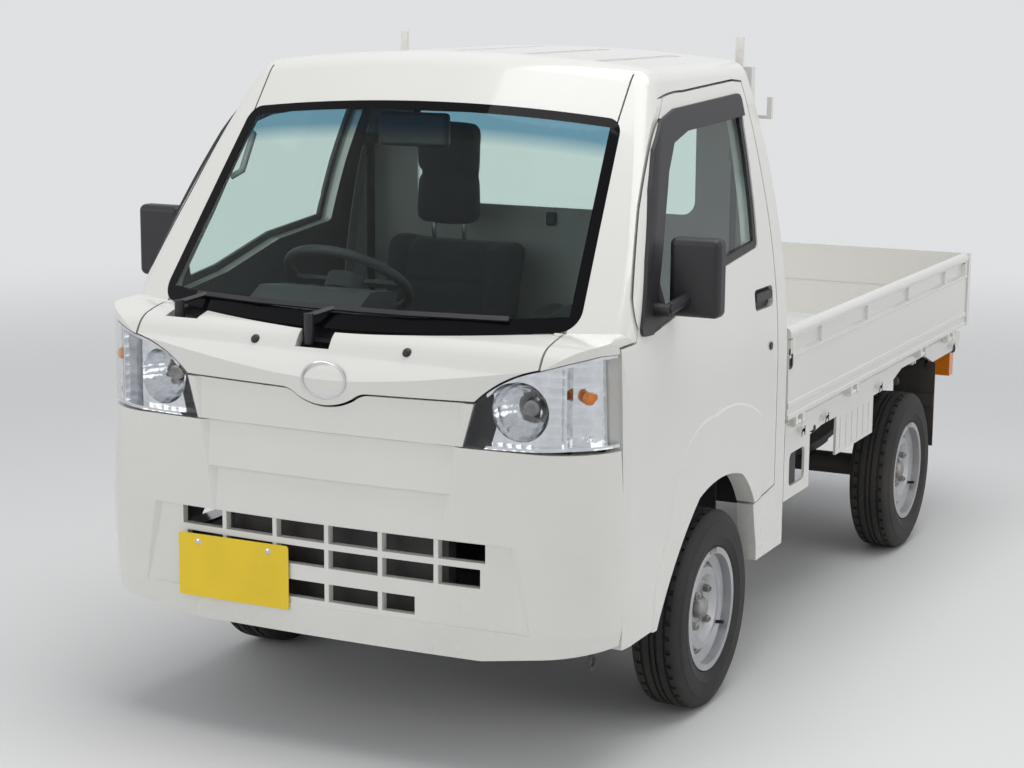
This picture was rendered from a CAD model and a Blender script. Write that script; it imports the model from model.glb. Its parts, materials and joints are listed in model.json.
# %% [markdown]
# # A small pickup truck, dressed for the camera
# The solids of the truck come from its CAD model, one body for each part that moves. This script
# loads them, gives every surface its finish, and adds what is too fine or too soft for CAD: seat
# covers, tread, bulbs, bolts, nuts, belts and hooks. The CAD solids are never moved or reshaped
# here, so the truck keeps its measured size.
#
# All lengths are in metres. The front faces -Y, the truck's left is +X, and the ground is Z = 0.

# %% Load the frame
import json
import math
from functools import partial

import bmesh
import bpy
from mathutils import Euler, Matrix, Vector


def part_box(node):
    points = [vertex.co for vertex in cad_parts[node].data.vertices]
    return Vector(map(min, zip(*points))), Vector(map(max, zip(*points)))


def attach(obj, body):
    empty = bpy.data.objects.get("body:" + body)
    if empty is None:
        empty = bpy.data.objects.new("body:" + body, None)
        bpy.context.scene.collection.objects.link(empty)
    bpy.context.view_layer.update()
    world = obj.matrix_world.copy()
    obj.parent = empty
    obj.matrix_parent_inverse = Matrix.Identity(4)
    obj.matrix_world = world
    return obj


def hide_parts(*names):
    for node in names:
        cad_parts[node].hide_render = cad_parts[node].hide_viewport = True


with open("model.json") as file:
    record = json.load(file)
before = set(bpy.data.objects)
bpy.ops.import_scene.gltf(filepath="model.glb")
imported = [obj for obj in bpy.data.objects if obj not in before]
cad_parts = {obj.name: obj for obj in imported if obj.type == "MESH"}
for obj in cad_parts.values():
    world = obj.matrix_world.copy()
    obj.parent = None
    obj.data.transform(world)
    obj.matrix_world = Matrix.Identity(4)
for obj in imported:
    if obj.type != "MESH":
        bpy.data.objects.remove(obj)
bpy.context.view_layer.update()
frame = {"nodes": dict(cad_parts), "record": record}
nodes = frame["nodes"]

# %% [markdown]
# ## The camera
# The photograph was taken from the front left corner, a little above the roof. A camera can be
# matched by eye, but it was solved here from the truck's wheelbase, tracks and length, because
# that fixes the lens and the angle together. A wrong lens would make the nose too large or small.

# %% Camera
CAMERA_PLACE = (2.680915, -6.107065, 1.919890)
CAMERA_AZIMUTH = math.radians(26.17315)
CAMERA_TILT = math.radians(10.56189)
CAMERA_ROLL = math.radians(0.41604)
CAMERA_LENS = 75.191
SENSOR_WIDTH = 36

camera_data = bpy.data.cameras.new("camera")
camera_data.lens = CAMERA_LENS
camera_data.sensor_width = SENSOR_WIDTH
camera_data.clip_end = 200
camera = bpy.data.objects.new("camera", camera_data)
bpy.context.scene.collection.objects.link(camera)
aim = Euler((math.pi / 2 - CAMERA_TILT, 0, CAMERA_AZIMUTH)).to_matrix()
camera.matrix_world = Matrix.Translation(CAMERA_PLACE) @ (aim @ Matrix.Rotation(CAMERA_ROLL, 3, "Z")).to_4x4()
bpy.context.scene.camera = camera
print("camera at", CAMERA_PLACE, "lens", CAMERA_LENS)

# %% [markdown]
# ## Node helpers
# A material is a tree of nodes. By hand, each is added and wired with the mouse, and in a script
# it takes several lines. These helpers add one node, wire its inputs and return its output.
# Patterns read Object coordinates, which stick to a piece when it moves.

# %% Node helpers


def node_material(name):
    """A new material with its shader, and the shader itself."""
    material = bpy.data.materials.new(name)
    material.use_nodes = True
    return material, material.node_tree.nodes["Principled BSDF"]


def add_maths(tree, operation, first, second=0.0):
    """A Math node's result. Each value is a number or another node's output."""
    node = tree.nodes.new("ShaderNodeMath")
    node.operation = operation
    for socket, value in zip(node.inputs, (first, second)):
        if isinstance(value, bpy.types.NodeSocket):
            tree.links.new(value, socket)
        else:
            socket.default_value = value
    return node.outputs[0]


def object_place(tree):
    """The place on the piece, in Object coordinates."""
    return tree.nodes.new("ShaderNodeTexCoord").outputs["Object"]


def split_place(tree):
    """The X, Y and Z of the place on the piece. At rest, Z is the height above the ground."""
    split = tree.nodes.new("ShaderNodeSeparateXYZ")
    tree.links.new(object_place(tree), split.inputs["Vector"])
    return split.outputs


def add_noise(tree, scale, detail=5.0):
    """A noise pattern that sticks to the piece."""
    cloud = tree.nodes.new("ShaderNodeTexNoise")
    cloud.inputs["Scale"].default_value = scale
    cloud.inputs["Detail"].default_value = detail
    tree.links.new(object_place(tree), cloud.inputs["Vector"])
    return cloud.outputs["Fac"]


def add_range(tree, value, low, high, to_low, to_high):
    """The value, moved from one range to another and kept inside it."""
    node = tree.nodes.new("ShaderNodeMapRange")
    tree.links.new(value, node.inputs["Value"])
    for name, number in (("From Min", low), ("From Max", high), ("To Min", to_low), ("To Max", to_high)):
        node.inputs[name].default_value = number
    return node.outputs["Result"]


def add_mix(tree, share, first, second):
    """Two colours mixed by a share. Each colour is three numbers or another node's output."""
    node = tree.nodes.new("ShaderNodeMix")
    node.data_type = "RGBA"
    tree.links.new(share, node.inputs["Factor"])
    for socket, color in ((node.inputs[6], first), (node.inputs[7], second)):
        if isinstance(color, bpy.types.NodeSocket):
            tree.links.new(color, socket)
        else:
            socket.default_value = (*color, 1)
    return node.outputs[2]


def add_bump(tree, height, strength, distance, under=None):
    """A bump from a height pattern, on top of another bump where one is given."""
    node = tree.nodes.new("ShaderNodeBump")
    node.inputs["Strength"].default_value = strength
    node.inputs["Distance"].default_value = distance
    tree.links.new(height, node.inputs["Height"])
    if under:
        tree.links.new(under, node.inputs["Normal"])
    return node.outputs["Normal"]


print("node helpers ready")

# %% [markdown]
# ## Floor and light
# A truck stands in even light when a large soft lamp hangs over it, weaker ones stand in front
# and at its side, and a bright world fills the shadows. Small lamps would give hard edges.
#
# A plain floor would end in a grey line, and a curved backdrop would cut off views from behind.
# So the camera, and what it sees in metal and through glass, is shown one pale tone on the far
# floor and in the world. Other rays still meet the real floor and light the truck.

# %% Stage
FLOOR_HALF = 40
PALE_TONE = (0.74, 0.75, 0.76, 1)
WORLD_STRENGTH = 0.50
NEAR_FLOOR = 3.0
FAR_FLOOR = 9.0

bpy.ops.mesh.primitive_plane_add(size=2 * FLOOR_HALF, location=(0, 0, 0))
floor = bpy.context.object
floor.name = "floor"
floor_paint, floor_shader = node_material("floor_paint")
floor_shader.inputs["Base Color"].default_value = (0.80, 0.80, 0.79, 1)
floor_shader.inputs["Roughness"].default_value = 0.75
floor.data.materials.append(floor_paint)


def seen_share(tree):
    """One where a ray comes from the camera, a mirror or a pane of glass, and nought elsewhere."""
    path = tree.nodes.new("ShaderNodeLightPath")
    share = path.outputs["Is Camera Ray"]
    for name in ("Is Glossy Ray", "Is Transmission Ray"):
        share = add_maths(tree, "MAXIMUM", share, path.outputs[name])
    return share


def show_to_camera(tree, share, hidden, shown, output):
    """Show one shader to the rays that the share names, and another one to the rest."""
    blend = tree.nodes.new("ShaderNodeMixShader")
    tree.links.new(share, blend.inputs["Fac"])
    tree.links.new(hidden, blend.inputs[1])
    tree.links.new(shown, blend.inputs[2])
    tree.links.new(blend.outputs["Shader"], tree.nodes[output].inputs["Surface"])


tree = floor_paint.node_tree
reach = tree.nodes.new("ShaderNodeVectorMath")
reach.operation = "LENGTH"
tree.links.new(object_place(tree), reach.inputs[0])
fade = add_range(tree, reach.outputs["Value"], NEAR_FLOOR, FAR_FLOOR, 0, 1)
fade.node.interpolation_type = "SMOOTHSTEP"
glow = tree.nodes.new("ShaderNodeEmission")
glow.inputs["Color"].default_value = PALE_TONE
show_to_camera(tree, add_maths(tree, "MULTIPLY", fade, seen_share(tree)), floor_shader.outputs["BSDF"],
               glow.outputs["Emission"], "Material Output")

world = bpy.data.worlds.new("studio")
bpy.context.scene.world = world
world.use_nodes = True
tree = world.node_tree
tree.nodes["Background"].inputs["Color"].default_value = (0.86, 0.88, 0.92, 1)
tree.nodes["Background"].inputs["Strength"].default_value = WORLD_STRENGTH
seen_world = tree.nodes.new("ShaderNodeBackground")
seen_world.inputs["Color"].default_value = PALE_TONE
show_to_camera(tree, seen_share(tree), tree.nodes["Background"].outputs["Background"],
               seen_world.outputs["Background"], "World Output")


def soft_lamp(name, place, target, size, power):
    """A square area lamp at a place, turned to a target."""
    data = bpy.data.lights.new(name, "AREA")
    data.size = size
    data.energy = power
    lamp = bpy.data.objects.new(name, data)
    lamp.location = place
    lamp.rotation_euler = (Vector(target) - Vector(place)).to_track_quat("-Z", "Y").to_euler()
    bpy.context.scene.collection.objects.link(lamp)


# Each lamp: its name, its place, the point it is turned to, its size and its power.
LAMPS = (
    ("lamp_over", (0.9, -0.7, 6.5), (0, -0.5, 0.5), 5.0, 215),
    ("lamp_front", (-3.5, -7.0, 3.2), (0, -1.2, 0.8), 4.0, 85),
    ("lamp_side", (7.0, -1.0, 3.0), (0, 0, 0.8), 4.0, 55),
)
for name, place, target, size, power in LAMPS:
    soft_lamp(name, place, target, size, power)
bpy.context.scene.view_settings.view_transform = "Standard"
print("lamps", [row[0] for row in LAMPS])

# %% [markdown]
# ## Finishes
# A real surface is never one flat colour. Its tone and gloss wander a little, and it has a grain.
# A photograph could be wrapped round the piece, but a pattern worked out by the renderer needs no
# image and stays sharp at any distance. So one helper makes most finishes: a noise pattern moves
# the colour and the roughness, a finer one gives a bump, and road dust fades out with the height.

# %% Finish helper
ROAD_DUST = (0.30, 0.26, 0.20)


def finish_of(name, color, roughness, metallic=0.0, spread=0.04, scale=6.0, bump=0.0, bump_scale=400.0,
              dust=0.0, dust_top=0.75):
    """A finish with a slightly uneven colour, a fine bump, and road dust that fades out upwards."""
    material, shader = node_material(name)
    tree = material.node_tree
    cloud = add_noise(tree, scale, 6)
    dark = [c * (1 - spread) for c in color]
    light = [min(1, c * (1 + spread)) for c in color]
    shade = add_mix(tree, add_range(tree, cloud, 0.35, 0.65, 0, 1), dark, light)
    gloss = add_range(tree, cloud, 0, 1, max(0.02, roughness - 0.06), min(1, roughness + 0.06))
    if dust:
        rise = add_range(tree, split_place(tree)["Z"], 0.2, dust_top, 1, 0)
        patch = add_range(tree, add_noise(tree, 5, 8), 0.35, 0.7, 0, 1)
        share = add_maths(tree, "MULTIPLY", add_maths(tree, "MULTIPLY", rise, patch), dust)
        shade = add_mix(tree, share, shade, ROAD_DUST)
        gloss = add_maths(tree, "ADD", gloss, share)
    tree.links.new(shade, shader.inputs["Base Color"])
    tree.links.new(gloss, shader.inputs["Roughness"])
    shader.inputs["Metallic"].default_value = metallic
    if bump:
        grain = add_noise(tree, bump_scale, 4)
        tree.links.new(add_bump(tree, grain, bump, 0.0006), shader.inputs["Normal"])
    return material


print("finish helper ready, dust", ROAD_DUST)

# %% [markdown]
# ## Paint and metal
# The paint is a warm white under a clear coat. A low roughness alone would look like plastic, but
# a coat of its own keeps a sharp highlight over a duller colour, as lacquer does. A very fine
# bump is the orange peel of sprayed paint. The bed is the same white, rubbed dull by loads.

# %% Paints and metals
body_paint = finish_of("body_paint", (0.80, 0.79, 0.745), 0.22, spread=0.012, scale=2.0, bump=0.03,
                       bump_scale=260, dust=0.10)
body_shader = body_paint.node_tree.nodes["Principled BSDF"]
body_shader.inputs["Coat Weight"].default_value = 0.7
body_shader.inputs["Coat Roughness"].default_value = 0.05
bed_paint = finish_of("bed_paint", (0.74, 0.73, 0.69), 0.42, spread=0.03, scale=3.0, bump=0.1, bump_scale=160)
chassis_paint = finish_of("chassis_paint", (0.020, 0.020, 0.022), 0.5, spread=0.3, bump=0.3, bump_scale=120,
                          dust=0.25, dust_top=1.1)
cast_metal = finish_of("cast_metal", (0.20, 0.20, 0.20), 0.55, metallic=0.6, spread=0.25, bump=0.5,
                       bump_scale=150, dust=0.3, dust_top=1.1)
rim_paint = finish_of("rim_paint", (0.50, 0.51, 0.53), 0.34, metallic=0.7, spread=0.05, scale=18, bump=0.08,
                      bump_scale=500, dust=0.30, dust_top=0.9)
bright_metal = finish_of("bright_metal", (0.66, 0.66, 0.67), 0.22, metallic=1.0, spread=0.06, scale=25)
dull_metal = finish_of("dull_metal", (0.33, 0.32, 0.31), 0.5, metallic=0.9, spread=0.2, scale=30, bump=0.3,
                       bump_scale=300)
mirror_metal = finish_of("mirror_metal", (0.86, 0.88, 0.90), 0.03, metallic=1.0, spread=0.01, scale=2)
print("paints", body_paint.name, bed_paint.name)

# %% [markdown]
# ## Plastic and rubber
# Grained black plastic covers the mirrors, the wipers and the window bands, and a softer grey
# lines the cab. The grain could be modelled, but it is far below a millimetre deep, so a bump is
# enough. Rubber is duller and holds more dust.

# %% Plastics, rubber and lamp colours
black_plastic = finish_of("black_plastic", (0.017, 0.017, 0.019), 0.44, spread=0.2, bump=0.5, bump_scale=900)
gloss_black = finish_of("gloss_black", (0.010, 0.010, 0.012), 0.15, spread=0.2, bump=0.03, bump_scale=300)
flap_rubber = finish_of("flap_rubber", (0.018, 0.018, 0.019), 0.7, spread=0.3, bump=0.4, bump_scale=350,
                        dust=0.35)
cab_trim = finish_of("cab_trim", (0.050, 0.050, 0.055), 0.6, spread=0.12, bump=0.6, bump_scale=700)
pale_trim = finish_of("pale_trim", (0.36, 0.36, 0.355), 0.6, spread=0.05, bump=0.5, bump_scale=600)
plate_paint = finish_of("plate_paint", (0.90, 0.64, 0.02), 0.38, spread=0.03, scale=12, bump=0.05,
                        bump_scale=90)
amber_lens = finish_of("amber_lens", (0.85, 0.24, 0.01), 0.12, spread=0.06, scale=40)
belt_web = finish_of("belt_web", (0.022, 0.022, 0.024), 0.8, spread=0.2, bump=0.7, bump_scale=1500)
print("plastics", black_plastic.name, cab_trim.name, flap_rubber.name)

# %% [markdown]
# ## Tyre, cloth and reflector
# Two finishes need a pattern of their own. Seat cloth is woven, and three crossed waves give its
# grain on every side of a pad, where a flat map would smear round the corners. The lamp's bowl is
# broken into facets that scatter the light. Modelled facets would cost thousands of faces, so a
# cell pattern bends the metal's reflections instead.

# %% Tyre, cloth and reflector
tyre_rubber = finish_of("tyre_rubber", (0.016, 0.016, 0.017), 0.72, spread=0.3, scale=9, bump=0.35,
                        bump_scale=500, dust=0.12, dust_top=0.7)


def woven_cloth(name, color, pitch):
    """Cloth whose grain is three crossed waves, with a mottled colour."""
    material, shader = node_material(name)
    tree = material.node_tree
    threads = []
    for direction in ("X", "Y", "Z"):
        wave = tree.nodes.new("ShaderNodeTexWave")
        wave.bands_direction = direction
        wave.inputs["Scale"].default_value = 1 / pitch / 3
        wave.inputs["Distortion"].default_value = 0.6
        tree.links.new(object_place(tree), wave.inputs["Vector"])
        threads.append(wave.outputs["Fac"])
    cross = add_maths(tree, "MULTIPLY", add_maths(tree, "MULTIPLY", threads[0], threads[1]), threads[2])
    mottle = add_range(tree, add_noise(tree, 300, 3), 0.3, 0.7, 0, 1)
    tree.links.new(add_mix(tree, mottle, [c * 0.65 for c in color], [c * 1.4 for c in color]),
                   shader.inputs["Base Color"])
    fine = add_bump(tree, add_noise(tree, 900, 4), 0.35, 0.0008)
    tree.links.new(add_bump(tree, cross, 0.5, 0.0008, fine), shader.inputs["Normal"])
    shader.inputs["Roughness"].default_value = 0.92
    shader.inputs["Sheen Weight"].default_value = 0.08
    return material


def faceted_reflector(name):
    """Bright metal whose surface is broken into small facets, as the bowl of a lamp."""
    material, shader = node_material(name)
    tree = material.node_tree
    cells = tree.nodes.new("ShaderNodeTexVoronoi")
    cells.inputs["Scale"].default_value = 42
    cells.inputs["Randomness"].default_value = 0.15
    tree.links.new(object_place(tree), cells.inputs["Vector"])
    tree.links.new(add_bump(tree, cells.outputs["Distance"], 0.4, 0.005), shader.inputs["Normal"])
    tone = add_range(tree, add_noise(tree, 30, 3), 0.3, 0.7, 0, 1)
    tree.links.new(add_mix(tree, tone, (0.70, 0.71, 0.73), (0.82, 0.83, 0.85)), shader.inputs["Base Color"])
    shader.inputs["Metallic"].default_value = 1.0
    shader.inputs["Roughness"].default_value = 0.12
    return material


seat_cloth = woven_cloth("seat_cloth", (0.030, 0.030, 0.033), 0.004)
reflector = faceted_reflector("reflector")
print("patterned finishes", seat_cloth.name, reflector.name)

# %% [markdown]
# ## Glass
# The windscreen is glued in behind a black ceramic band, and has a tinted strip along its top.
# Both could be thin pieces laid on the glass, but two surfaces a hair apart flicker in a render.
# So one shader turns from clear to black by the place on the glass. Its index of refraction is
# low, because a thin plate hardly bends what is behind it. The tail lamp's lens is one moulding
# in three colours, told apart by the distance from the truck's middle.

# %% Glass finishes
THIN_PANE_IOR = 1.2


def clear_glass(name, color, roughness):
    """Clear glass: light goes through, and the shader's gloss mirrors the room."""
    material, shader = node_material(name)
    shader.inputs["Base Color"].default_value = (*color, 1)
    shader.inputs["Roughness"].default_value = roughness
    shader.inputs["Transmission Weight"].default_value = 1.0
    shader.inputs["IOR"].default_value = THIN_PANE_IOR
    return material


GLASS_TINT = (0.80, 0.90, 0.87)
SHADE_TINT = (0.22, 0.42, 0.55)
FRIT_BLACK = (0.004, 0.004, 0.005)
window_glass = clear_glass("window_glass", GLASS_TINT, 0.0)
lamp_glass = clear_glass("lamp_glass", (0.96, 0.97, 0.98), 0.02)
bulb_glass = clear_glass("bulb_glass", (0.95, 0.96, 0.97), 0.0)
# The windscreen's lower corner (its X and Z), how its side leans in as it rises, and the black
# band: its width at the side, its edges at foot and head, the foot of the tint, and their bows.
SCREEN_CORNER = (0.602, 1.105)
SCREEN_LEAN = 0.1093
FRIT_SIDE = 0.028
FRIT_FOOT = 1.118
FRIT_HEAD = 1.600
SHADE_FOOT = 1.535
FOOT_BOW = 0.0635
HEAD_BOW = 0.106
LENS_AMBER_FROM = 0.638
LENS_CLEAR_TO = 0.545


def screen_glass():
    """Windscreen glass with its black edge band and the tinted strip along the top."""
    material, shader = node_material("screen_glass")
    tree = material.node_tree
    maths = partial(add_maths, tree)
    place = split_place(tree)
    side = maths("ABSOLUTE", place["X"])
    square = maths("MULTIPLY", side, side)
    height = place["Z"]
    lean = maths("MULTIPLY", maths("SUBTRACT", height, SCREEN_CORNER[1]), SCREEN_LEAN)
    out = maths("GREATER_THAN", maths("ADD", side, lean), SCREEN_CORNER[0] - FRIT_SIDE)
    foot_line = maths("SUBTRACT", height, maths("MULTIPLY", square, FOOT_BOW))
    below = maths("LESS_THAN", foot_line, FRIT_FOOT)
    head_line = maths("ADD", height, maths("MULTIPLY", square, HEAD_BOW))
    above = maths("GREATER_THAN", head_line, FRIT_HEAD)
    frit = maths("MAXIMUM", maths("MAXIMUM", out, below), above)
    strip = add_range(tree, head_line, SHADE_FOOT - 0.01, SHADE_FOOT + 0.03, 0, 1)
    tint = add_mix(tree, strip, GLASS_TINT, SHADE_TINT)
    tree.links.new(add_mix(tree, frit, tint, FRIT_BLACK), shader.inputs["Base Color"])
    tree.links.new(maths("SUBTRACT", 1.0, frit), shader.inputs["Transmission Weight"])
    shader.inputs["Roughness"].default_value = 0.02
    shader.inputs["IOR"].default_value = THIN_PANE_IOR
    return material


def tail_lens():
    """The tail lamp's lens: red, with an amber field outside and a clear one inside."""
    material, shader = node_material("tail_lens")
    tree = material.node_tree
    side = add_maths(tree, "ABSOLUTE", split_place(tree)["X"])
    outside = add_maths(tree, "GREATER_THAN", side, LENS_AMBER_FROM)
    inside = add_maths(tree, "LESS_THAN", side, LENS_CLEAR_TO)
    red = add_mix(tree, outside, (0.42, 0.012, 0.010), (0.80, 0.22, 0.01))
    tree.links.new(add_mix(tree, inside, red, (0.62, 0.62, 0.60)), shader.inputs["Base Color"])
    ribs = tree.nodes.new("ShaderNodeTexWave")
    ribs.bands_direction = "Z"
    ribs.inputs["Scale"].default_value = 40
    tree.links.new(object_place(tree), ribs.inputs["Vector"])
    tree.links.new(add_bump(tree, ribs.outputs["Fac"], 0.3, 0.001), shader.inputs["Normal"])
    shader.inputs["Roughness"].default_value = 0.16
    shader.inputs["Coat Weight"].default_value = 0.5
    return material


windscreen_glass = screen_glass()
tail_lamp_lens = tail_lens()
print("glass finishes", windscreen_glass.name, tail_lamp_lens.name)

# %% [markdown]
# ## The CAD nodes get their finishes
# Each CAD node names a material slot. It takes the finish of that slot from a table, which is
# easier to read and to change than a line for every node. The deck and the windscreen have a
# finish of their own.

# %% Dress the CAD nodes
FINISHES = {
    "body_paint": body_paint, "chassis_paint": chassis_paint, "underbody": cast_metal,
    "rim_paint": rim_paint, "tyre": tyre_rubber, "glass": window_glass, "lamp_glass": lamp_glass,
    "lamp_inner": reflector, "black_plastic": black_plastic, "cab_trim": cab_trim,
    "seat_fabric": seat_cloth, "plate_paint": plate_paint, "lamp_red": tail_lamp_lens,
}
OWN_FINISHES = {"bed_floor": bed_paint, "windscreen": windscreen_glass}
for row in frame["record"]["subparts"]:
    mesh = nodes[row["node"]].data
    mesh.materials.clear()
    mesh.materials.append(OWN_FINISHES.get(row["node"], FINISHES[row["material_slot"]]))

# %% [markdown]
# ## Nodes of two colours
# Some nodes join pieces of two colours, such as a door and its lining. They could be split in the
# CAD model, but they are one body on the real truck. So a rule picks the faces of the second
# finish by their place and the way they face.

# %% Second finishes on nodes of two colours
SIDES = (("left", 1), ("right", -1))
FLAP_FRONT = 1.265
LAMP_RIM_FRONT = -1.615
LAMP_RIM_IN = 0.44
INNER_FACES = 0.70
STAYS_FRONT = -1.600
STAYS_OUT = 0.62
RIM_REACH = 0.158


def repaint(node, finish, rule):
    """Give a second finish to those faces of a CAD node for which the rule holds."""
    mesh = nodes[node].data
    mesh.materials.append(finish)
    index = len(mesh.materials) - 1
    count = 0
    for face in mesh.polygons:
        if rule(face.center, face.normal):
            face.material_index = index
            count += 1
    return count


def faces_in(centre, normal, slope):
    """Whether a face of the cab looks towards the middle of the truck, more than a slope."""
    return centre.x * normal.x < 0 and abs(normal.x) > slope and abs(centre.x) < INNER_FACES


spare = (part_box("spare_wheel")[0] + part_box("spare_wheel")[1]) / 2
REPAINTS = [
    ("mudguards", body_paint, lambda c, n: c.y < FLAP_FRONT),
    ("mudguards", flap_rubber, lambda c, n: c.y >= FLAP_FRONT),
    ("headlamps", gloss_black, lambda c, n: n.y < -0.5 and c.y < LAMP_RIM_FRONT and abs(c.x) < LAMP_RIM_IN),
    ("bumper", chassis_paint, lambda c, n: c.y > STAYS_FRONT and abs(c.x) < STAYS_OUT),
    ("spare_wheel", rim_paint, lambda c, n: math.hypot(c.x - spare.x, c.y - spare.y) < RIM_REACH),
    ("roof", pale_trim, lambda c, n: n.z < -0.4),
    ("cab_back", pale_trim, lambda c, n: n.y < -0.5),
]
for side_name, out in SIDES:
    REPAINTS += [("door_" + side_name, cab_trim, lambda c, n: faces_in(c, n, 0.7)),
                 ("cab_side_" + side_name, pale_trim, lambda c, n: faces_in(c, n, 0.5))]
for node, finish, rule in REPAINTS:
    print(node, "faces of the second finish", repaint(node, finish, rule))

# %% [markdown]
# ## Making pieces
# Every new piece starts as a primitive, is shaped in edit mode and ends with its place in its
# mesh. Nothing can be clicked here, so the helpers select by place or direction, and deselect
# everything first, because an operator acts on all that is selected. The two main ways are a
# block with rounded edges and a turned piece, whose section is spun about its axle as on a lathe.

# %% Modelling helpers


def settle(piece):
    """Select only this piece and make it the active one."""
    bpy.ops.object.select_all(action="DESELECT")
    piece.select_set(True)
    bpy.context.view_layer.objects.active = piece


def fresh(add, **options):
    """Add a primitive with nothing else selected."""
    bpy.ops.object.select_all(action="DESELECT")
    add(**options)
    return bpy.context.object


def edit(on=True):
    """Go into edit mode, or back out of it."""
    bpy.ops.object.mode_set(mode="EDIT" if on else "OBJECT")


def pick(piece, kind, rule):
    """In edit mode, select only the faces or edges for which the rule holds."""
    bpy.ops.mesh.select_mode(type=kind)
    bpy.ops.mesh.select_all(action="DESELECT")
    shape = bmesh.from_edit_mesh(piece.data)
    for item in shape.faces if kind == "FACE" else shape.edges:
        item.select_set(rule(item))
    bmesh.update_edit_mesh(piece.data)


def settled(piece, angle=40):
    """Put the place of a piece into its mesh, and smooth all but its sharp edges."""
    settle(piece)
    bpy.ops.object.transform_apply(location=True, rotation=True, scale=True)
    bpy.ops.object.shade_smooth_by_angle(angle=math.radians(angle))
    return piece


def block(low, high, round_off, segments=3):
    """A box between two corners with rounded edges."""
    piece = fresh(bpy.ops.mesh.primitive_cube_add, size=1, location=(Vector(low) + Vector(high)) / 2)
    piece.scale = Vector(high) - Vector(low)
    settled(piece)
    edit()
    bpy.ops.mesh.select_all(action="SELECT")
    bpy.ops.mesh.bevel(offset=round_off, segments=segments, affect="EDGES")
    edit(False)
    return settled(piece)


def rod(start, end, radius, round_off=0.0, sides=24):
    """A round bar from one point to another, with rounded ends."""
    start, end = Vector(start), Vector(end)
    length = (end - start).length
    piece = fresh(bpy.ops.mesh.primitive_cylinder_add, vertices=sides, radius=radius, depth=length)
    if round_off:
        half = length / 2
        edit()
        pick(piece, "EDGE", lambda e: all(abs(abs(v.co.z) - half) < 1e-5 for v in e.verts))
        bpy.ops.mesh.bevel(offset=round_off, segments=3, affect="EDGES")
        edit(False)
    piece.rotation_euler = (end - start).to_track_quat("Z", "Y").to_euler()
    piece.location = (start + end) / 2
    return settled(piece)


def face_outwards():
    """In edit mode, turn the outside of every face outwards."""
    bpy.ops.mesh.select_all(action="SELECT")
    bpy.ops.mesh.normals_make_consistent(inside=False)


def turned(section, centre, steps, direction=(1, 0, 0)):
    """A turned piece: its section is a closed line of points (along the axle, out from it)."""
    piece = fresh(bpy.ops.mesh.primitive_circle_add, vertices=len(section), radius=1)
    for corner, (along, out) in zip(piece.data.vertices, section):
        corner.co = (along, 0, out)
    edit()
    bpy.ops.mesh.select_all(action="SELECT")
    bpy.ops.mesh.spin(steps=steps, angle=2 * math.pi, center=(0, 0, 0), axis=(1, 0, 0))
    bpy.ops.mesh.select_all(action="SELECT")
    bpy.ops.mesh.remove_doubles(threshold=0.00002)
    bpy.ops.mesh.delete_loose()
    face_outwards()
    edit(False)
    piece.rotation_euler = Vector(direction).to_track_quat("X", "Z").to_euler()
    piece.location = centre
    return settled(piece)


def copied(piece, shift=(0, 0, 0), flip=False):
    """A copy with its own mesh, moved, or mirrored to the other side of the truck."""
    twin = piece.copy()
    twin.data = piece.data.copy()
    bpy.context.scene.collection.objects.link(twin)
    if flip:
        twin.scale.x = -1
    twin.location = shift
    settled(twin)
    if flip:
        edit()
        face_outwards()
        edit(False)
    return twin


def dress(piece, name, finish, body="chassis"):
    """Name a finished piece, give it its finish, and say what it rides on."""
    piece.name = name
    piece.data.name = name
    piece.data.materials.clear()
    piece.data.materials.append(finish)
    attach(piece, body)
    return piece


def surface_at(node, start, direction):
    """The point and the normal where a line from a start point first meets a CAD node."""
    hit, point, normal, face = nodes[node].ray_cast(Vector(start), Vector(direction).normalized())
    if not hit:
        raise ValueError("nothing met on " + node)
    return point, normal


print("helpers ready")

# %% [markdown]
# ## Tyres
# A small van's tyre has plain walls and a ribbed tread: four zigzag grooves run round it, and the
# shoulders are notched. A bump would give grooves that vanish at the tyre's edge, so the tread is
# real. The section is turned about the axle, every second slice is shifted sideways, and the
# shoulder faces are pressed in. It is made once and copied to the four wheels.

# %% Tyre
SLICES = 126
ZIGZAG = 0.0022
NOTCH_DEPTH = 0.006
NOTCH_EDGE = 0.0012
SHARP_ANGLE = 30
# The section's points, in millimetres: how far they lie from the tyre's middle and from its axle.
TYRE_HALF_WALL = ((57.7, 156.2), (57.7, 168.6), (60.5, 170.0), (63.5, 174.5), (67.5, 184.0), (70.6, 196.0),
                  (71.4, 197.0), (71.6, 200.5), (71.2, 201.5), (72.3, 214.0), (71.6, 228.0), (70.4, 236.0),
                  (70.9, 237.0), (70.4, 239.5), (69.3, 240.5), (66.0, 250.0), (62.2, 258.2), (58.5, 264.0),
                  (52.0, 268.2))
TYRE_HALF_TREAD = ((49.0, 268.6), (37.0, 269.3), (36.0, 262.5), (29.5, 262.5), (28.5, 269.8), (12.0, 270.3),
                   (11.0, 262.5), (4.5, 262.5), (3.5, 270.4))
half_section = TYRE_HALF_WALL + TYRE_HALF_TREAD
tyre_section = [(x / 1000, r / 1000) for x, r in half_section]
tyre_section += [(-x / 1000, r / 1000) for x, r in reversed(half_section)]
tyre = turned(tyre_section, (0, 0, 0), SLICES)
for corner in tyre.data.vertices:
    out = math.hypot(corner.co.y, corner.co.z)
    slice_number = round(math.atan2(corner.co.y, corner.co.z) / (2 * math.pi) * SLICES)
    if 0.0025 < abs(corner.co.x) < 0.0375 and out > 0.26 and slice_number % 2:
        corner.co.x += ZIGZAG


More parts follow.
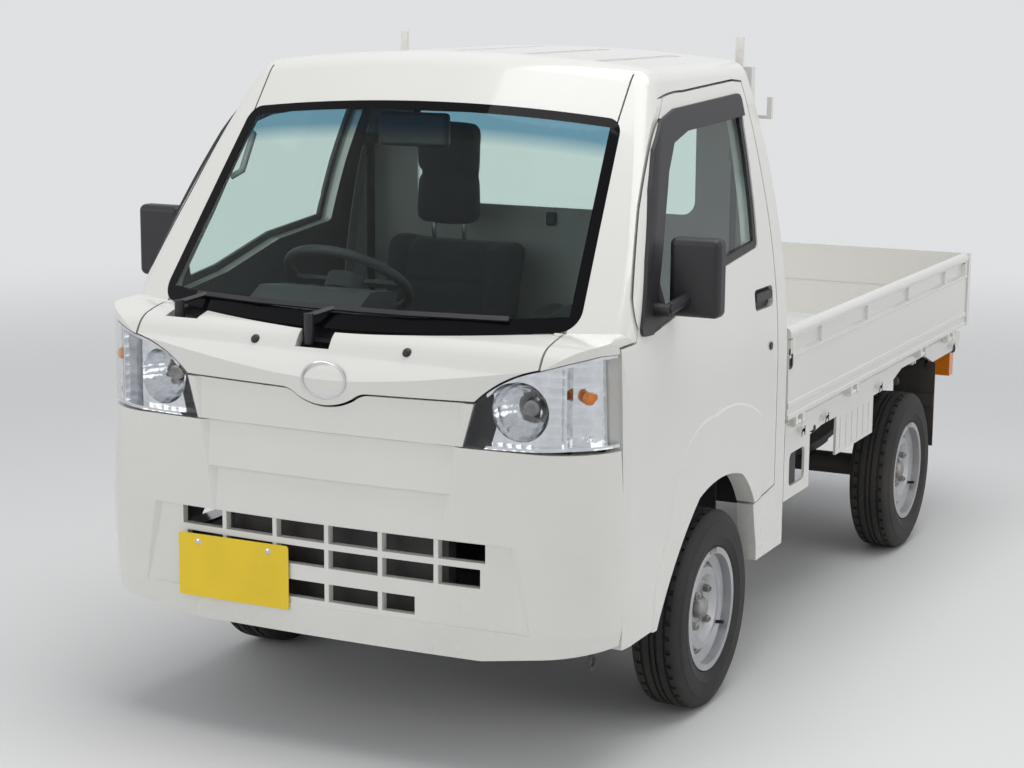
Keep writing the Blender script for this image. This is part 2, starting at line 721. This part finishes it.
def on_shoulder(face):
    """Whether a face lies on the tread's shoulder, in every third slice."""
    middle = face.calc_center_median()
    slice_number = round(math.atan2(middle.y, middle.z) / (2 * math.pi) * SLICES - 0.5)
    return 0.036 < abs(middle.x) < 0.050 and slice_number % 3 == 0 and math.hypot(middle.y, middle.z) > 0.266


edit()
pick(tyre, "FACE", on_shoulder)
bpy.ops.mesh.inset(thickness=NOTCH_EDGE, depth=-NOTCH_DEPTH, use_individual=True)
edit(False)
settled(tyre, SHARP_ANGLE)
print("tyre faces", len(tyre.data.polygons))

WHEELS = {name: (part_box("rim_" + name)[0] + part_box("rim_" + name)[1]) / 2
          for name in ("front_left", "front_right", "rear_left", "rear_right")}
for name, centre in WHEELS.items():
    tyre_centre = (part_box("tyre_" + name)[0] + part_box("tyre_" + name)[1]) / 2
    piece = copied(tyre, tyre_centre, flip="right" in name)
    dress(piece, "treaded_tyre_" + name, tyre_rubber, "wheel_" + name)
    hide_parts("tyre_" + name)
bpy.data.objects.remove(tyre)
print("tyres", list(WHEELS))

# %% [markdown]
# ## Hubs and nuts
# Each steel wheel is held by four nuts round a small grease cap. Its rim carries a lead weight,
# clipped on to balance it, and a rubber valve. A nut could have a real thread, but a six-sided
# cylinder whose crown is inset and drawn out into the stud's end takes few faces. The nuts of a
# wheel are joined, because they always turn together.

# %% Hub, nuts, valve and weight
NUT_COUNT = 4
NUT_RING = 0.060
NUT_RADIUS = 0.0112
NUT_LENGTH = 0.016
HUB_FACE = 0.023
CAP_SECTION = ((0, 0.0), (0.0, 0.030), (0.016, 0.029), (0.024, 0.024), (0.0275, 0.014), (0.028, 0.0))
WEIGHT_X = 0.0625
WEIGHT_HALF = (0.004, 0.022)
WEIGHT_REACH = (0.1545, 0.1665)


def wheel_nut(centre, out):
    """A hexagon nut with a chamfered crown and the end of its stud."""
    nut = fresh(bpy.ops.mesh.primitive_cylinder_add, vertices=6, radius=NUT_RADIUS, depth=NUT_LENGTH)
    edit()
    pick(nut, "FACE", lambda f: f.normal.z > 0.9)
    bpy.ops.mesh.inset(thickness=0.0018, depth=0.0022)
    bpy.ops.mesh.inset(thickness=0.0030, depth=0.0)
    bpy.ops.mesh.inset(thickness=0.0001, depth=0.0045)
    edit(False)
    nut.rotation_euler = Vector((out, 0, 0)).to_track_quat("Z", "Y").to_euler()
    nut.location = centre
    return settled(nut, 20)


def joined(pieces):
    """Several pieces made one."""
    bpy.ops.object.select_all(action="DESELECT")
    for piece in pieces:
        piece.select_set(True)
    bpy.context.view_layer.objects.active = pieces[0]
    bpy.ops.object.join()
    return bpy.context.object


for name, centre in WHEELS.items():
    out = 1 if "left" in name else -1
    face = centre.x + out * HUB_FACE
    nuts = []
    for turn in range(NUT_COUNT):
        angle = math.pi / 4 + turn * 2 * math.pi / NUT_COUNT
        nuts.append(wheel_nut((face + out * 0.007, centre.y + NUT_RING * math.cos(angle),
                               centre.z + NUT_RING * math.sin(angle)), out))
    dress(joined(nuts), "wheel_nuts_" + name, dull_metal, "wheel_" + name)
    cap = turned(CAP_SECTION, (face - out * 0.004, centre.y, centre.z), 32, (out, 0, 0))
    dress(cap, "grease_cap_" + name, dull_metal, "wheel_" + name)
    weight_x = centre.x + out * WEIGHT_X
    weight = block((weight_x - WEIGHT_HALF[0], centre.y - WEIGHT_HALF[1], centre.z + WEIGHT_REACH[0]),
                   (weight_x + WEIGHT_HALF[0], centre.y + WEIGHT_HALF[1], centre.z + WEIGHT_REACH[1]), 0.0022)
    dress(weight, "balance_weight_" + name, dull_metal, "wheel_" + name)
    valve = rod((centre.x + out * 0.030, centre.y + 0.118, centre.z - 0.072),
                (centre.x + out * 0.058, centre.y + 0.110, centre.z - 0.067), 0.005, 0.0015, 16)
    dress(valve, "valve_" + name, black_plastic, "wheel_" + name)
print("hub pieces", 4 * len(WHEELS))

# %% [markdown]
# ## Seats
# The seats are foam pads in dark cloth. A block with rounded edges would look like plastic, since
# real foam crowns between its seams. So each pad is a rounded block, remeshed into even squares
# and blown up a little as cloth. How far a point may move is capped, so the pad keeps its size.

# %% Seat pads
VOXEL = 0.011
SWELL_PRESSURE = 4
SWELL_FRAMES = 20
SWELL_CAP = 0.012
LARGEST_ROUNDING = 0.035
# Each pad: its name, two corners, how far it leans, and the CAD seat that it stands for.
PADS = (
    ("driver_base", (-0.470, -1.042, 0.700), (-0.022, -0.640, 0.826), 0.0, "seat_right"),
    ("driver_back", (-0.470, -0.652, 0.800), (-0.022, -0.545, 1.192), 0.18, "seat_right"),
    ("driver_headrest", (-0.362, -0.588, 1.228), (-0.170, -0.494, 1.524), 0.0, "seat_right"),
    ("passenger_base", (0.022, -1.042, 0.700), (0.470, -0.500, 0.826), 0.0, "seat_left"),
    ("passenger_back", (0.022, -0.962, 0.848), (0.470, -0.492, 0.950), -0.136, "seat_left"),
)


def foam_pad(name, low, high, lean):
    """An evenly meshed pad, leaning back with its height, or rising to its rear where lean is negative."""
    pad = block(low, high, min(LARGEST_ROUNDING, (min(Vector(high) - Vector(low))) * 0.33), 4)
    for corner in pad.data.vertices:
        if lean > 0:
            corner.co.y += lean * (corner.co.z - low[2])
        elif lean < 0:
            corner.co.z -= lean * (corner.co.y - low[1])
    settle(pad)
    bpy.ops.object.modifier_add(type="REMESH")
    pad.modifiers[-1].mode = "VOXEL"
    pad.modifiers[-1].voxel_size = VOXEL
    bpy.ops.object.modifier_apply(modifier=pad.modifiers[-1].name)
    pad.name = name
    return pad


def puff_up(pads):
    """Blow the pads up as cloth for some frames, and keep each point within the cap."""
    for pad in pads:
        cloth = pad.modifiers.new("puff", "CLOTH")
        cloth.settings.use_pressure = True
        cloth.settings.uniform_pressure_force = SWELL_PRESSURE
        cloth.settings.effector_weights.gravity = 0
    for step in range(1, SWELL_FRAMES + 1):
        bpy.context.scene.frame_set(step)
    graph = bpy.context.evaluated_depsgraph_get()
    swollen = {pad.name: [v.co.copy() for v in pad.evaluated_get(graph).data.vertices] for pad in pads}
    for pad in pads:
        pad.modifiers.clear()
        for corner, place in zip(pad.data.vertices, swollen[pad.name]):
            move = place - corner.co
            corner.co += move * min(1, SWELL_CAP / max(move.length, 1e-9))
    bpy.context.scene.frame_set(1)


pads = [foam_pad(name, low, high, lean) for name, low, high, lean, node in PADS]
puff_up(pads)
print("pads", [pad.name for pad in pads])

# %% [markdown]
# ## Sewn channels
# The cover is sewn through the foam along a few lines, which pull it in. They could be painted or
# bumped, but their shadow gives a seat its look. So each point near a line is pressed in along
# its normal, after the remesh, which would wipe out anything narrower than its squares. Each pad
# then takes the place of its plain CAD seat.

# %% Sewn channels and cloth
FACING = 0.3
SEAM_WIDTH = 0.009
SEAM_DEPTH = 0.009
CROSS_SEAM_REACH = 0.125
SIDE_SEAMS = (0.130, -0.130)
# For each pad: its seams along it, from its middle, and the places of its seams across it.
CHANNELS = {"driver_base": (SIDE_SEAMS, (-0.78, -0.90)), "driver_back": (SIDE_SEAMS, (0.93, 1.06)),
            "driver_headrest": ((), (1.375,)), "passenger_base": (SIDE_SEAMS, (-0.75, -0.90)),
            "passenger_back": (SIDE_SEAMS, (-0.70, -0.83))}
for pad, (name, low, high, lean, node) in zip(pads, PADS):
    along, across = CHANNELS[name]
    middle = (low[0] + high[0]) / 2
    standing = name in ("driver_back", "driver_headrest")
    for corner in pad.data.vertices:
        normal = corner.normal
        front = -normal.y if standing else normal.z
        if front < FACING:
            continue
        run = corner.co.z if standing else corner.co.y
        press = sum(math.exp(-((corner.co.x - middle - line) / SEAM_WIDTH) ** 2) for line in along)
        press += sum(math.exp(-((run - line) / SEAM_WIDTH) ** 2) for line in across
                     if abs(corner.co.x - middle) < CROSS_SEAM_REACH)
        corner.co -= normal * min(1, press) * SEAM_DEPTH
    settle(pad)
    bpy.ops.object.modifier_add(type="SUBSURF")
    pad.modifiers[-1].levels = 1
    pad.modifiers[-1].render_levels = 1
    bpy.ops.object.modifier_apply(modifier=pad.modifiers[-1].name)
    bpy.ops.object.shade_smooth()
    dress(pad, "pad_" + name, seat_cloth)
    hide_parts(node)
    print(pad.name, len(pad.data.polygons))

# %% [markdown]
# ## Seat hardware
# The pads sit on a dark steel pan, the headrest stands on two posts, and plastic covers hide the
# hinges. They could be left sharp, as they are small, but a perfectly sharp edge catches no light
# and gives a model away. So they are rounded blocks and rods.

# %% Seat hardware
SEAT_MIDDLE = 0.246
PAN_HALF = 0.205
COVER_OUT = 0.229
COVER_HALF = 0.011
for side, node in ((-SEAT_MIDDLE, "driver"), (SEAT_MIDDLE, "passenger")):
    pan = block((side - PAN_HALF, -1.000, 0.6905), (side + PAN_HALF, -0.520, 0.706), 0.005)
    dress(pan, "seat_pan_" + node, chassis_paint)
    for edge in (-1, 1):
        middle = side + edge * COVER_OUT
        cover = block((middle - COVER_HALF, -0.700, 0.722), (middle + COVER_HALF, -0.560, 0.800), 0.009)
        where = "in" if edge * side < 0 else "out"
        dress(cover, f"seat_hinge_cover_{node}_{where}", black_plastic)
for place in (-0.316, -0.216):
    post = rod((place, -0.538, 1.170), (place, -0.541, 1.250), 0.0065, 0.001, 16)
    dress(post, f"headrest_post_{round(abs(place) * 1000)}", bright_metal)
print("seat hardware done")

# %% [markdown]
# ## Lamps
# Behind the clear lens the main chamber holds a bulb on the axis of its bowl. The outer chamber
# holds a large amber bulb above a small clear one. A bulb is round about its axis, so its section
# is turned, and the small bulb is the amber one's section at seven tenths of its size.

# %% Bulbs
BULB_SECTION = ((0.000, 0.0), (0.000, 0.011), (0.010, 0.011), (0.013, 0.0075), (0.034, 0.0075),
                (0.041, 0.005), (0.0435, 0.0))
AMBER_SECTION = ((0.0, 0.0), (0.0, 0.011), (0.008, 0.011), (0.010, 0.008), (0.016, 0.013), (0.026, 0.0165),
                 (0.036, 0.013), (0.041, 0.006), (0.042, 0.0))
SMALL_BULB_SIZE = 0.7
small_section = [(along * SMALL_BULB_SIZE, out * SMALL_BULB_SIZE) for along, out in AMBER_SECTION]
FORWARD = (0, -1, 0)
BOWL_X, BOWL_Z, OUTER_X = 0.512, 0.926, 0.668
# Each bulb: its name, its section, its place on the left side, its steps and its finish.
BULBS = (
    ("main_bulb_", BULB_SECTION, (BOWL_X, -1.585, BOWL_Z), 24, bulb_glass),
    ("amber_bulb_", AMBER_SECTION, (OUTER_X, -1.575, 0.966), 24, amber_lens),
    ("position_bulb_", small_section, (OUTER_X, -1.578, 0.872), 20, bulb_glass),
)
for side_name, out in SIDES:
    for name, section, (x, y, z), steps, finish in BULBS:
        dress(turned(section, (out * x, y, z), steps, FORWARD), name + side_name, finish)
    collar = rod((out * BOWL_X, -1.572, BOWL_Z), (out * BOWL_X, -1.588, BOWL_Z), 0.020, 0.002, 24)
    dress(collar, "bulb_collar_" + side_name, dull_metal)
print("bulbs done")

# %% [markdown]
# ## Small pieces of the front
# The hood carries two washer nozzles and a plain oval ring where a badge would be. Their places
# could be typed in, but they would float or sink if the hood changed. So a line is sent to the
# hood, and the piece is set where it meets it, turned to the surface there.

# %% Nozzles and badge place
NOZZLE_SECTION = ((-0.002, 0.0), (-0.002, 0.012), (0.001, 0.012), (0.005, 0.009), (0.0075, 0.004),
                  (0.0078, 0.0))
RING_SECTION = ((-0.003, 0.058), (0.0022, 0.058), (0.0034, 0.0605), (0.0022, 0.064), (-0.003, 0.064))
RING_FLATNESS = 0.74
for side_name, out in SIDES:
    point, normal = surface_at("hood", (out * 0.216, -1.666, 1.30), (0, 0, -1))
    nozzle = turned(NOZZLE_SECTION, point, 24, normal)
    dress(nozzle, "washer_nozzle_" + side_name, black_plastic, "hood")
point, normal = surface_at("hood", (0, -1.9, 0.968), (0, 1, 0))
badge = turned(RING_SECTION, (0, 0, 0), 72, FORWARD)
badge.scale = (1, 1, RING_FLATNESS)
badge.location = point
settled(badge)
dress(badge, "badge_ring", bright_metal, "hood")
print("badge place", [round(c, 4) for c in badge.bound_box[0]])

# %% [markdown]
# ## Plate bolts and tow eye
# The number plate is held by two bolts with round heads, and a tow eye hangs under the corner of
# the bumper. The eye could be a torus primitive, but the same lathe helper makes it from a small
# round section, and a short bar joins it to the bumper's edge.

# %% Plate bolts and tow eye
BOLT_HEAD = ((-0.002, 0.0), (-0.002, 0.0085), (0.0015, 0.0085), (0.0038, 0.0060), (0.0042, 0.0))
BOLT_OUT = 0.105
BOLT_DOWN = 0.020
plate_low, plate_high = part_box("number_plate")
for side_name, place in (("right", -BOLT_OUT), ("left", BOLT_OUT)):
    x = (plate_low.x + plate_high.x) / 2 + place
    bolt = turned(BOLT_HEAD, (x, plate_low.y + 0.0015, plate_high.z - BOLT_DOWN), 24, FORWARD)
    dress(bolt, "plate_bolt_" + side_name, bright_metal)

EYE_RADIUS = 0.017
EYE_BAR = 0.0055
EYE_POINTS = 10
EYE_X, EYE_Y = 0.684, -1.600
eye_section = []
for index in range(EYE_POINTS):
    angle = 2 * math.pi * index / EYE_POINTS
    eye_section.append((EYE_BAR * math.cos(angle), EYE_RADIUS + EYE_BAR * math.sin(angle)))
tow_eye = turned(eye_section, (EYE_X, EYE_Y, 0.324), 32)
tow_bar = rod((EYE_X, EYE_Y, 0.338), (EYE_X, EYE_Y, 0.358), 0.0065, 0.001, 16)
dress(joined([tow_eye, tow_bar]), "tow_eye", chassis_paint)
print("tow eye and bolts done")

# %% [markdown]
# ## Rope hooks
# Ropes over the load are tied to open hooks under the edge of the bed. Each is a thin bar bent
# most of the way round. A curve with a bevel would make a full round bar. Here a small disc is
# drawn down and swept round the hook's centre in its own plane, which gives only the flat outline
# of the curl, without thickness. One hook is made and copied along both sides.

# %% Rope hooks
HOOK_PLACES = (-0.150, 0.075, 0.640, 1.180, 1.560)
HOOK_X = 0.722
HOOK_TOP = 0.640
HOOK_DROP = 0.020
HOOK_BEND = 0.013
HOOK_TURN = math.radians(-190)
BAR_RADIUS = 0.0045
hook = fresh(bpy.ops.mesh.primitive_circle_add, vertices=12, radius=BAR_RADIUS, fill_type="NGON")
hook.rotation_euler = (0, math.pi / 2, 0)
hook.location = (0, 0, HOOK_TOP)
settled(hook)
edit()
bpy.ops.mesh.select_all(action="SELECT")
bpy.ops.mesh.extrude_region_move(TRANSFORM_OT_translate={"value": (0, 0, 0)})
bpy.ops.transform.rotate(value=math.pi / 2, orient_axis="X", center_override=(0, 0, HOOK_TOP))
bpy.ops.mesh.extrude_region_move(TRANSFORM_OT_translate={"value": (0, 0, -HOOK_DROP)})
bpy.ops.mesh.spin(steps=12, angle=HOOK_TURN, center=(0, -HOOK_BEND, HOOK_TOP - HOOK_DROP), axis=(1, 0, 0))
bpy.ops.mesh.select_all(action="SELECT")
bpy.ops.mesh.remove_doubles(threshold=0.0001)
face_outwards()
edit(False)
print("hook size", [round(c, 4) for c in hook.dimensions])
for side_name, out in (("right", -1), ("left", 1)):
    for place in HOOK_PLACES:
        twin = copied(hook, (out * HOOK_X, place, 0))
        number = round(place * 1000) % 10000
        dress(twin, f"rope_hook_{side_name}_{number}", body_paint)
bpy.data.objects.remove(hook)

# %% [markdown]
# ## Mirror, header and visors
# Through the windscreen one sees the room mirror, the unit at the header, the parking brake and a
# small catch on the rear wall. They are rounded blocks, so a table and a loop make them. The sun
# visors are folded up and lean with the lining, and each hangs on two pins, whose upper ends are
# found by a line sent up to the roof.

# %% Mirror and header unit
# Each block: its name, two corners, its rounding and the steps of that, its slot and its finish.
CAB_BLOCKS = (
    ("room_mirror", (-0.154, -1.152, 1.499), (0.052, -1.126, 1.589), 0.011, 4, "cab_trim", black_plastic),
    ("room_mirror_face", (-0.146, -1.127, 1.507), (0.044, -1.1245, 1.581), 0.001, 2, "glass", mirror_metal),
    ("header_unit", (-0.120, -1.125, 1.592), (0.120, -1.060, 1.650), 0.010, 3, "cab_trim", black_plastic),
    ("parking_brake", (-0.020, -0.930, 0.775), (0.020, -0.700, 0.805), 0.012, 3, "cab_trim", black_plastic),
    ("rear_wall_catch", (-0.012, -0.412, 1.222), (0.018, -0.3965, 1.262), 0.005, 3, "cab_trim",
     black_plastic),
)
for name, low, high, round_off, steps, slot, finish in CAB_BLOCKS:
    dress(block(low, high, round_off, steps), name, finish)
mirror_stem = rod((-0.051, -1.140, 1.580), (-0.051, -1.106, 1.606), 0.008, 0.001, 16)
dress(mirror_stem, "room_mirror_stem", black_plastic)
VISOR_MIDDLE = 0.330
VISOR_HALF = (0.165, 0.060, 0.007)
VISOR_LEAN = math.radians(43)
VISOR_PLACE = Vector((0, -1.078, 1.634))
PIN_OUT = 0.150
PIN_Y, PIN_FOOT = -1.110, 1.598
for side_name, out in SIDES:
    middle = Vector((out * VISOR_MIDDLE, 0, 0))
    visor = block(middle - Vector(VISOR_HALF), middle + Vector(VISOR_HALF), 0.006, 3)
    visor.rotation_euler.x = VISOR_LEAN
    visor.location = VISOR_PLACE
    settled(visor)
    pins = []
    for x in (middle.x - PIN_OUT, middle.x + PIN_OUT):
        point, normal = surface_at("roof", (x, PIN_Y, 1.3), (0, 0, 1))
        pins.append(rod((x, PIN_Y, PIN_FOOT), (x, PIN_Y, point.z + 0.003), 0.005, 0.0, 12))
    dress(joined([visor] + pins), "sun_visor_" + side_name, pale_trim)
print("header done")

# %% [markdown]
# ## Belts, handle and lever
# A belt hangs on each rear pillar, between its guide and its reel. It could be draped as cloth,
# but its reel pulls it straight, so a thin flat strip is true to it. A grab handle stands on the
# driver's pillar, and the gear lever, a rod with a turned knob, stands between the seats.

# %% Belts, handle and lever
BELT_X = 0.585
BELT_HALF = 0.0008
for side_name, out in SIDES:
    x = out * BELT_X
    web = block((x - BELT_HALF, -0.470, 0.730), (x + BELT_HALF, -0.424, 1.455), 0.0006, 1)
    dress(web, "belt_" + side_name, belt_web)
    guide = block((out * 0.590 - 0.010, -0.482, 1.440), (out * 0.590 + 0.014, -0.412, 1.475), 0.006, 3)
    dress(guide, "belt_guide_" + side_name, black_plastic)
    reel = block((x - 0.022, -0.482, 0.690), (x + 0.012, -0.412, 0.745), 0.008, 3)
    dress(reel, "belt_reel_" + side_name, black_plastic)
grab = joined([rod((-0.520, -1.252, 1.420), (-0.520, -1.190, 1.520), 0.009, 0.002, 16),
               rod((-0.545, -1.268, 1.405), (-0.518, -1.250, 1.424), 0.008, 0.002, 16),
               rod((-0.545, -1.178, 1.530), (-0.518, -1.192, 1.516), 0.008, 0.002, 16)])
dress(grab, "grab_handle", pale_trim)
KNOB_SECTION = ((-0.022, 0.0), (-0.021, 0.012), (-0.008, 0.020), (0.008, 0.021), (0.020, 0.013), (0.024, 0.0))
stick = rod((0.0, -1.120, 0.700), (0.012, -1.168, 0.905), 0.007, 0.001, 16)
knob = turned(KNOB_SECTION, (0.012, -1.170, 0.915), 24, (0.05, -0.22, 0.97))
dress(joined([stick, knob]), "gear_lever", black_plastic)
print("cab pieces done")

# %% [markdown]
# ## Door mirror glass
# Each door mirror has a silvered glass set into its housing. Clear glass in front of silver would
# be two surfaces too close to tell apart, so one thin plate of very smooth metal stands for both.
# It rides on the door, as its housing does.

# %% Door mirror glass
MIRROR_X, MIRROR_Z = 0.792, 1.219
MIRROR_FRONT, MIRROR_BACK = -1.2065, -1.2048
MIRROR_HALF_X, MIRROR_HALF_Z = 0.057, 0.088
for side_name, out in SIDES:
    low = (out * MIRROR_X - MIRROR_HALF_X, MIRROR_FRONT, MIRROR_Z - MIRROR_HALF_Z)
    high = (out * MIRROR_X + MIRROR_HALF_X, MIRROR_BACK, MIRROR_Z + MIRROR_HALF_Z)
    glass = block(low, high, 0.0006, 1)
    dress(glass, "door_mirror_glass_" + side_name, mirror_metal, "door_" + side_name)
print("mirror glass done")

# %% [markdown]
# ## Gates
# Each side gate is locked at its front end by a dark lever latch, hangs on hinges held by two
# bolts each, and rests on rubber stoppers when it is let down. The latch is set where a line from
# the side meets the gate, and rides on it. The bolts and stoppers stay with the bed, and those of
# one side are joined, which keeps the list of pieces short.

# %% Gate bolts, stoppers and latches
HINGE_BOLT = ((-0.003, 0.0), (-0.003, 0.0075), (0.0025, 0.0070), (0.0035, 0.0050), (0.0035, 0.0))
STOPPER_SECTION = ((0.0, 0.0), (0.0, 0.014), (0.010, 0.013), (0.014, 0.009), (0.0145, 0.0))
HINGE_PLACES = (-0.241, 0.292, 1.088, 1.446)
STOPPER_PLACES = (-0.030, 0.860, 1.594)
HINGE_BOLT_X, HINGE_BOLT_Z, HINGE_BOLT_SHIFT = 0.7005, 0.640, 0.014
STOPPER_X, STOPPER_Z = 0.700, 0.612
LATCH_BACK, LATCH_Z = 0.018, 0.872
for side_name, out in SIDES:
    bolts = []
    for hinge in HINGE_PLACES:
        for shift in (-HINGE_BOLT_SHIFT, HINGE_BOLT_SHIFT):
            centre = (out * HINGE_BOLT_X, hinge + shift, HINGE_BOLT_Z)
            bolts.append(turned(HINGE_BOLT, centre, 12, (out, 0, 0)))
    dress(joined(bolts), "hinge_bolts_" + side_name, body_paint)
    stoppers = []
    for place in STOPPER_PLACES:
        stoppers.append(turned(STOPPER_SECTION, (out * STOPPER_X, place, STOPPER_Z), 24, (out, 0, 0)))
    dress(joined(stoppers), "gate_stoppers_" + side_name, flap_rubber)
    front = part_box("gate_" + side_name)[0].y
    point, normal = surface_at("gate_" + side_name, (out, front + LATCH_BACK, LATCH_Z), (-out, 0, 0))
    plate = block((point.x - 0.002, front + 0.006, 0.842), (point.x + 0.002, front + 0.030, 0.902), 0.0015, 2)
    lever = block((point.x - 0.006, front + 0.012, 0.850), (point.x + 0.006, front + 0.024, 0.886), 0.0015, 2)
    dress(joined([plate, lever]), "gate_latch_" + side_name, black_plastic,
          "gate_" + side_name)
    print("latch at", [round(c, 3) for c in point])
